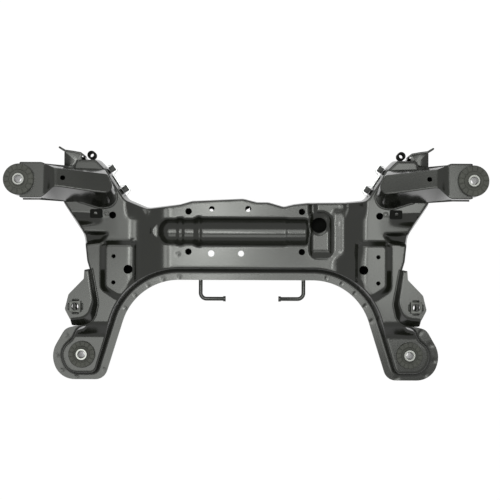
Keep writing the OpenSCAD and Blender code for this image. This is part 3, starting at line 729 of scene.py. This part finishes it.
# Upper and lower shell
root = FRONT_EDGE + mirrored(LEFT_EDGE) + LEFT_EDGE[::-1]
rim = FRONT_EDGE + mirrored(LEFT_RIM) + LEFT_RIM[::-1]
at = np.array([corner[:2] for corner in root], float)
upper_draft = UPPER_DRAFT * (panel_level(at[:, 0], at[:, 1]) - SEAM_Z) / (LEG_Z - SEAM_Z)
upper_holes = RACK_HOLES + WEB_HOLES + SIDE_HOLES + mirrored(SIDE_HOLES)
bm = pressed_sheet(inset(root, upper_draft), root, upper_holes, upper_die, UPPER_CELL, UPPER_FILLET,
                   SEAM_Z + SHEET, SEAM_Z, rim)
on_flange = [v for v in bm.verts if v.co.z < SEAM_Z + SHEET + 0.5]
for spot in weld_spots(root, rim):
    for v in on_flange:
        if max(abs(v.co.x - spot[0]), abs(v.co.y - spot[1])) < SPOT_REACH:
            v.co.z -= SPOT_DEPTH * dot(v.co.x, v.co.y, spot, SPOT_R)
upper = new_piece("upper_pressing", bm, black_dip_paint, "paint", "upper_shell")

floor_holes = FLOOR_HOLES + LEG_FLOOR_HOLES + mirrored(LEG_FLOOR_HOLES)
bm = pressed_sheet(inset(root, LOWER_DRAFT), root, floor_holes, lambda x, y: np.full_like(x, PAN_Z), LOWER_CELL,
                   LOWER_FILLET, SEAM_Z - SHEET, SEAM_Z, rim, up=False)
lower = new_piece("lower_pressing", bm, black_dip_paint, "paint", "lower_shell")


def arm_crown(x, y):
    """Height of an arm's top: a face that rises outboard, then the step to the end plate."""
    face = ARM_TOP_Z - ARM_FALL * np.clip((x - ARM_STEP[1]) / (ARM_CREST[4][0] - ARM_STEP[1]), 0, 1)
    face -= ARM_LEAN * (y - ARM_BUSH[1])
    return ARM_TOP_Z - END_STEP + (face - ARM_TOP_Z + END_STEP) * slope(x, *ARM_STEP, ARM_BEND)


def arm_hem(x, y):
    """Height of an arm's lower edge, along the plate that closes it."""
    return np.interp(-x, ARM_UNDER[0], ARM_UNDER[1])


def cup_hem(x, y):
    """Height of a rear cup's lower edge, on the leg and down the step to the foot."""
    return LEG_Z - (LEG_Z - WEB_Z) * slope(-y, *FOOT_STEP, CUP_BEND)


def cup_mouth(x, y):
    """Where a rear cup has no wall: its open outboard side."""
    return x < np.interp(-y, CUP_MOUTH[0], CUP_MOUTH[1])


def handed(bm, side):
    """A left-hand shape, turned into its twin on the right side."""
    if side == "right":
        bmesh.ops.scale(bm, vec=(-1, 1, 1), verts=bm.verts)
        bmesh.ops.reverse_faces(bm, faces=bm.faces)
    return bm


def bush_ring(x, y, z, height, can_d):
    """Bonded rubber ring with moulded radial grooves in its upper face."""
    r = can_d / 2
    bore = r - CAN_WALL - 0.4
    top = height + RUBBER_OUT
    # From the sleeve outward below, up inside the can, over its rim and back across the upper face
    outline = [
        (SLEEVE_D / 2, -RUBBER_OUT), (r - CAN_WALL - 6, -RUBBER_OUT), (bore, -0.5), (bore, height + 0.3),
        (r - 1.5, height + 0.3), (r - 0.8, height + 1.0), (r - 0.8, top - 1.6), (r - 1.6, top - 0.4),
        (r - 3, top), (r - 4.5, top), (r * 0.72, top), (r * 0.66, top), (r * 0.62, top - 0.8),
        (r * 0.58, height + RUBBER_OUT * 0.5), (SLEEVE_D / 2 + 2.5, height + RUBBER_OUT * 0.4),
        (SLEEVE_D / 2 + 0.2, top - 1.0),
    ]
    bm = turned(outline)
    for v in bm.verts:
        far = math.hypot(v.co.x, v.co.y)
        turn = math.atan2(v.co.y, v.co.x) / math.tau * TURN_STEPS
        in_groove = round(turn) % (TURN_STEPS // RUBBER_GROOVES) < RUBBER_GROOVE_STEPS
        if in_groove and r * 0.64 < far < r - 2 and v.co.z > height + 1:
            v.co.z -= RUBBER_GROOVE_DEPTH
    bmesh.ops.translate(bm, vec=(x, y, z), verts=bm.verts)
    return bm


def turned(outline):
    """A ring spun about the upright axis from a closed outline of [radius, height]."""
    bm = bmesh.new()
    ring = [bm.verts.new((a, 0, b)) for a, b in outline]
    line = [bm.edges.new(pair) for pair in zip(ring, ring[1:])]
    line.append(bm.edges.new((ring[-1], ring[0])))
    bmesh.ops.spin(bm, geom=ring + line, cent=(0, 0, 0), axis=(0, 0, 1), angle=math.tau,
                   steps=TURN_STEPS, use_merge=True)
    bmesh.ops.recalc_face_normals(bm, faces=bm.faces)
    for face in bm.faces:
        face.smooth = True
    for e in bm.edges:
        e.smooth = e.calc_face_angle(0) < math.radians(TURN_SHARP)
    return bm


def tube(x, y, z, outer_d, inner_d, edge):
    """A turned tube between two heights with broken edges."""
    a, b = inner_d / 2, outer_d / 2
    low, high = z
    bm = turned([(a, low + edge), (a + edge, low), (b - edge, low), (b, low + edge),
                 (b, high - edge), (b - edge, high), (a + edge, high), (a, high - edge)])
    bmesh.ops.translate(bm, vec=(x, y, 0), verts=bm.verts)
    return bm


def weld_bead(path, r):
    """A rippled weld bead along a path, which is resampled to the ripple's pitch."""
    path = np.array(path, float)
    run = np.concatenate([[0], np.cumsum(np.linalg.norm(np.diff(path, axis=0), axis=1))])
    stops = np.linspace(0, run[-1], max(3, int(run[-1] / RIPPLE_PITCH * 2)))
    path = np.column_stack([np.interp(stops, run, path[:, k]) for k in range(3)])
    along_path = np.gradient(path, axis=0)
    side = np.cross(along_path, (0, 0, 1))
    side /= np.linalg.norm(side, axis=1, keepdims=True)
    turn = np.arange(WELD_SIDES) * math.tau / WELD_SIDES
    swell = r * np.where(np.arange(len(path)) % 2, 1 + WELD_SWELL, 1 - WELD_SWELL)
    swell[[0, -1]] *= 0.5
    rows = [place + size * (np.outer(np.cos(turn), out) + np.outer(np.sin(turn), (0, 0, 1)))
            for place, out, size in zip(path, side, swell)]
    bm = bmesh.new()
    number = bm.verts.layers.int.new("border")
    ring = bmesh.ops.create_circle(bm, segments=WELD_SIDES, radius=1)["verts"]
    for i, v in enumerate(ring):
        v[number] = i + 1
        v.co = rows[0][i]
    grow_border(bm, bm.edges[:], rows[1:], number)
    bmesh.ops.holes_fill(bm, edges=bm.edges, sides=WELD_SIDES)
    bmesh.ops.recalc_face_normals(bm, faces=bm.faces)
    for face in bm.faces:
        face.smooth = True
    return bm


def stretch(corners, first, last, z):
    """Part of an outline, from one corner to another, as a path at a height."""
    counts = arc_steps(corners, PLAN_STEP)
    owner = np.repeat(np.arange(len(corners)), np.array(counts) + 1)
    points = rounded(corners, counts)[(owner >= first) & (owner <= last)]
    return with_z(points, z(points[:, 0], points[:, 1]) if callable(z) else z)


def merged(parts):
    """Several bmeshes as one."""
    whole = bmesh.new()
    for part in parts:
        mesh = bpy.data.meshes.new("part")
        part.to_mesh(mesh)
        part.free()
        whole.from_mesh(mesh)
        bpy.data.meshes.remove(mesh)
    return whole


def nut_welds(x, y, z):
    """Four short beads round a square weld nut."""
    far = NUT_W / 2 + NUT_WELD_GAP
    beads = []
    for a, b in ((1, 0), (0, 1), (-1, 0), (0, -1)):
        ends = [(x + a * far - b * half, y + b * far + a * half, z) for half in (NUT_WELD_HALF, -NUT_WELD_HALF)]
        beads.append(weld_bead(ends, NUT_WELD_R))
    return beads


def clip_band():
    """A spring strip along a leg's inner wall, bridged out round the block at each of its ends."""
    way = Vector(CLIP_WALL[1]) - Vector(CLIP_WALL[0])
    way.normalize()
    out = Vector((way.y, -way.x))
    foot, head = CLIP_HALF
    path = []
    for middle in (0.0, CLIP_SPAN):
        path += [(middle - foot, CLIP_LAP), (middle - head, CLIP_BRIDGE)]
        path += [(middle + head, CLIP_BRIDGE), (middle + foot, CLIP_LAP)]
    bm = bmesh.new()
    line = [bm.verts.new((*(Vector(CLIP_WALL[0]) + way * (CLIP_START + u) + out * v), CLIP_Z[0])) for u, v in path]
    low = [bm.edges.new(pair) for pair in zip(line, line[1:])]
    grown = bmesh.ops.extrude_edge_only(bm, edges=low)["geom"]
    high = [v for v in grown if isinstance(v, bmesh.types.BMVert)]
    bmesh.ops.translate(bm, vec=(0, 0, CLIP_Z[1] - CLIP_Z[0]), verts=high)
    bends = [e for e in bm.edges if not e.is_boundary]
    bmesh.ops.bevel(bm, geom=bends, offset=CLIP_BEND, segments=4, profile=0.5, affect="EDGES", material=-1)
    return bm


# Arms, cups, welds, clips and mounts of both sides
thin_sheets = [upper, lower]
for side in ("left", "right"):
    bm = pressed_sheet(ARM_CREST, ARM_ROOT, ARM_HOLES, arm_crown, ARM_CELL, ARM_FILLET, arm_hem)
    arm = new_piece(side + "_arm_pressing", handed(bm, side), black_dip_paint, "paint", side + "_arm_upper")
    bm = pressed_sheet(CUP_TOP, CUP_ROOT, CUP_HOLES, lambda x, y: np.full_like(x, CUP_TOP_Z), CUP_CELL, CUP_FILLET,
                       cup_hem, skip_wall=cup_mouth)
    cup = new_piece(side + "_rear_cup", handed(bm, side), black_dip_paint, "paint", side + "_rear_bracket")
    thin_sheets += [arm, cup]

    bm = merged([
        weld_bead(stretch(ARM_ROOT, 3, 6, LEG_Z + WELD_LIFT), ARM_WELD_R),
        weld_bead(stretch(CUP_ROOT, 1, 3, lambda x, y: cup_hem(x, y) + WELD_LIFT), CUP_WELD_R),
    ] + nut_welds(*NUT_AT, CUP_TOP_Z + NUT_WELD_LIFT))
    new_piece(side + "_weld_beads", handed(bm, side), black_dip_paint, "paint")

    band = new_piece(side + "_clip_band", handed(clip_band(), side), bright_zinc, "zinc", side + "_clip_strip")
    strip = band.modifiers.new("strip", "SOLIDIFY")
    strip.thickness = STRIP * MM
    strip.offset = 0

    hand = -1 if side == "left" else 1
    for end, place, can_z, can_d, sleeve_z in MOUNTS:
        mount = f"{side}_{end}"
        x, y = hand * place[0], place[1]
        bm = bush_ring(x, y, can_z[0], can_z[1] - can_z[0], can_d)
        new_piece(mount + "_bush_ring", bm, moulded_rubber, "rubber", mount + "_rubber")
        bm = tube(x, y, can_z, can_d, can_d - 2 * CAN_WALL, CAN_EDGE)
        new_piece(mount + "_bush_can", bm, black_dip_paint, "paint", mount + "_can")
        bm = tube(x, y, sleeve_z, SLEEVE_D, SLEEVE_BORE_D, SLEEVE_EDGE)
        new_piece(mount + "_bush_sleeve", bm, turned_steel, "sleeve", mount + "_sleeve")

# Thickness of the sheets, with the matt near-black film on the inner face as painted shade inside the closed
# sections
for sheet in thin_sheets:
    wall = sheet.modifiers.new("sheet", "SOLIDIFY")
    wall.thickness = SHEET * MM
    wall.offset = -1
    sheet.data.materials.append(matt_film_and_painted_inner_shade)
    wall.material_offset = 1

# Carried-over solids: merged, with small rounded edges
slots = {row["node"]: row["material_slot"] for row in frame["record"]["subparts"]}
for name, solid in nodes.items():
    solid.data.materials.clear()
    matt = name.endswith(("_harness_tab", "_front_collar"))
    solid.data.materials.append(matt_film_and_painted_inner_shade if matt else FINISH[slots[name]])
    for face in solid.data.polygons:
        face.use_smooth = True
    weld = solid.modifiers.new("merge", "WELD")
    weld.merge_threshold = MERGE * MM
    edges = solid.modifiers.new("edges", "BEVEL")
    edges.width = EDGE_R * MM
    edges.segments = 2
    edges.limit_method = "ANGLE"
    edges.angle_limit = math.radians(EDGE_ANGLE)
    edges.harden_normals = True

# Matt paper floor: white to the eye and in mirrored light, and grey in the light that it throws back
floor_mesh = bpy.data.meshes.new("floor")
bm = bmesh.new()
bmesh.ops.create_grid(bm, x_segments=1, y_segments=1, size=FLOOR_HALF)
bmesh.ops.translate(bm, vec=(0, 0, FLOOR_Z), verts=bm.verts)
bm.to_mesh(floor_mesh)
bm.free()
floor = bpy.data.objects.new("floor", floor_mesh)
bpy.context.collection.objects.link(floor)
white_paper, tree, shader, place = finish_of("white_paper")
shader.inputs["Base Color"].default_value = linear("#747474")
shader.inputs["Roughness"].default_value = 0.9
glow = add(tree, "ShaderNodeEmission", inputs={"Color": (1, 1, 1, 1), "Strength": GLOW})
seen = add(tree, "ShaderNodeMath", {"operation": "MULTIPLY"}, {0: backdrop_rays(tree), 1: GLOW_SHARE})
blend = add(tree, "ShaderNodeMixShader", inputs={0: seen.outputs[0], 1: shader.outputs[0], 2: glow.outputs[0]})
tree.links.new(blend.outputs[0], tree.nodes["Material Output"].inputs["Surface"])
floor_mesh.materials.append(white_paper)

# Pale studio and level soft panels
world = bpy.data.worlds.new("studio")
bpy.context.scene.world = world
world.use_nodes = True
tree = world.node_tree
sky = add(tree, "ShaderNodeMapRange", inputs={0: backdrop_rays(tree), 3: SKY[0], 4: SKY[1]})
tree.nodes["Background"].inputs["Color"].default_value = (1, 1, 1, 1)
tree.links.new(sky.outputs[0], tree.nodes["Background"].inputs["Strength"])


def soft_panel(name, x, y, width, depth, level, turn=0.0):
    """A level studio panel that faces down, with its brightness over its whole face."""
    lamp = bpy.data.lights.new(name, "AREA")
    lamp.shape = "RECTANGLE"
    lamp.size = width
    lamp.size_y = depth
    lamp.energy = level * math.pi * width * depth
    lamp.color = linear("#fcfff9")[:3]
    panel = bpy.data.objects.new(name, lamp)
    panel.location = (x, y, PANEL_Z)
    panel.rotation_euler = (0, 0, math.radians(turn))
    panel.visible_camera = False
    bpy.context.collection.objects.link(panel)


soft_panel("key_panel", -0.12, 0.22, 0.22, 0.56, 18.0, -20)
soft_panel("front_panel", -0.30, 0.36, 1.2, 0.48, 2.6)
soft_panel("rear_panel", -0.325, -0.31, 1.25, 0.70, 4.4)
soft_panel("right_panel", 0.525, 0.165, 0.45, 0.67, 7.0)
soft_panel("far_panel", -0.40, 1.6, 1.5, 1.1, 2.9)

# Camera over the part
camera_data = bpy.data.cameras.new("camera")
camera_data.sensor_fit = "HORIZONTAL"
camera_data.lens = LENS
camera = bpy.data.objects.new("camera", camera_data)
camera.location = CAMERA_AT
look = Vector(CAMERA_AIM) - Vector(CAMERA_AT)
roll = Matrix.Rotation(math.radians(CAMERA_ROLL), 3, "Z").to_quaternion()
camera.rotation_euler = (look.to_track_quat("-Z", "Y") @ roll).to_euler()
bpy.context.collection.objects.link(camera)
bpy.context.scene.camera = camera
bpy.context.scene.view_settings.view_transform = "Standard"
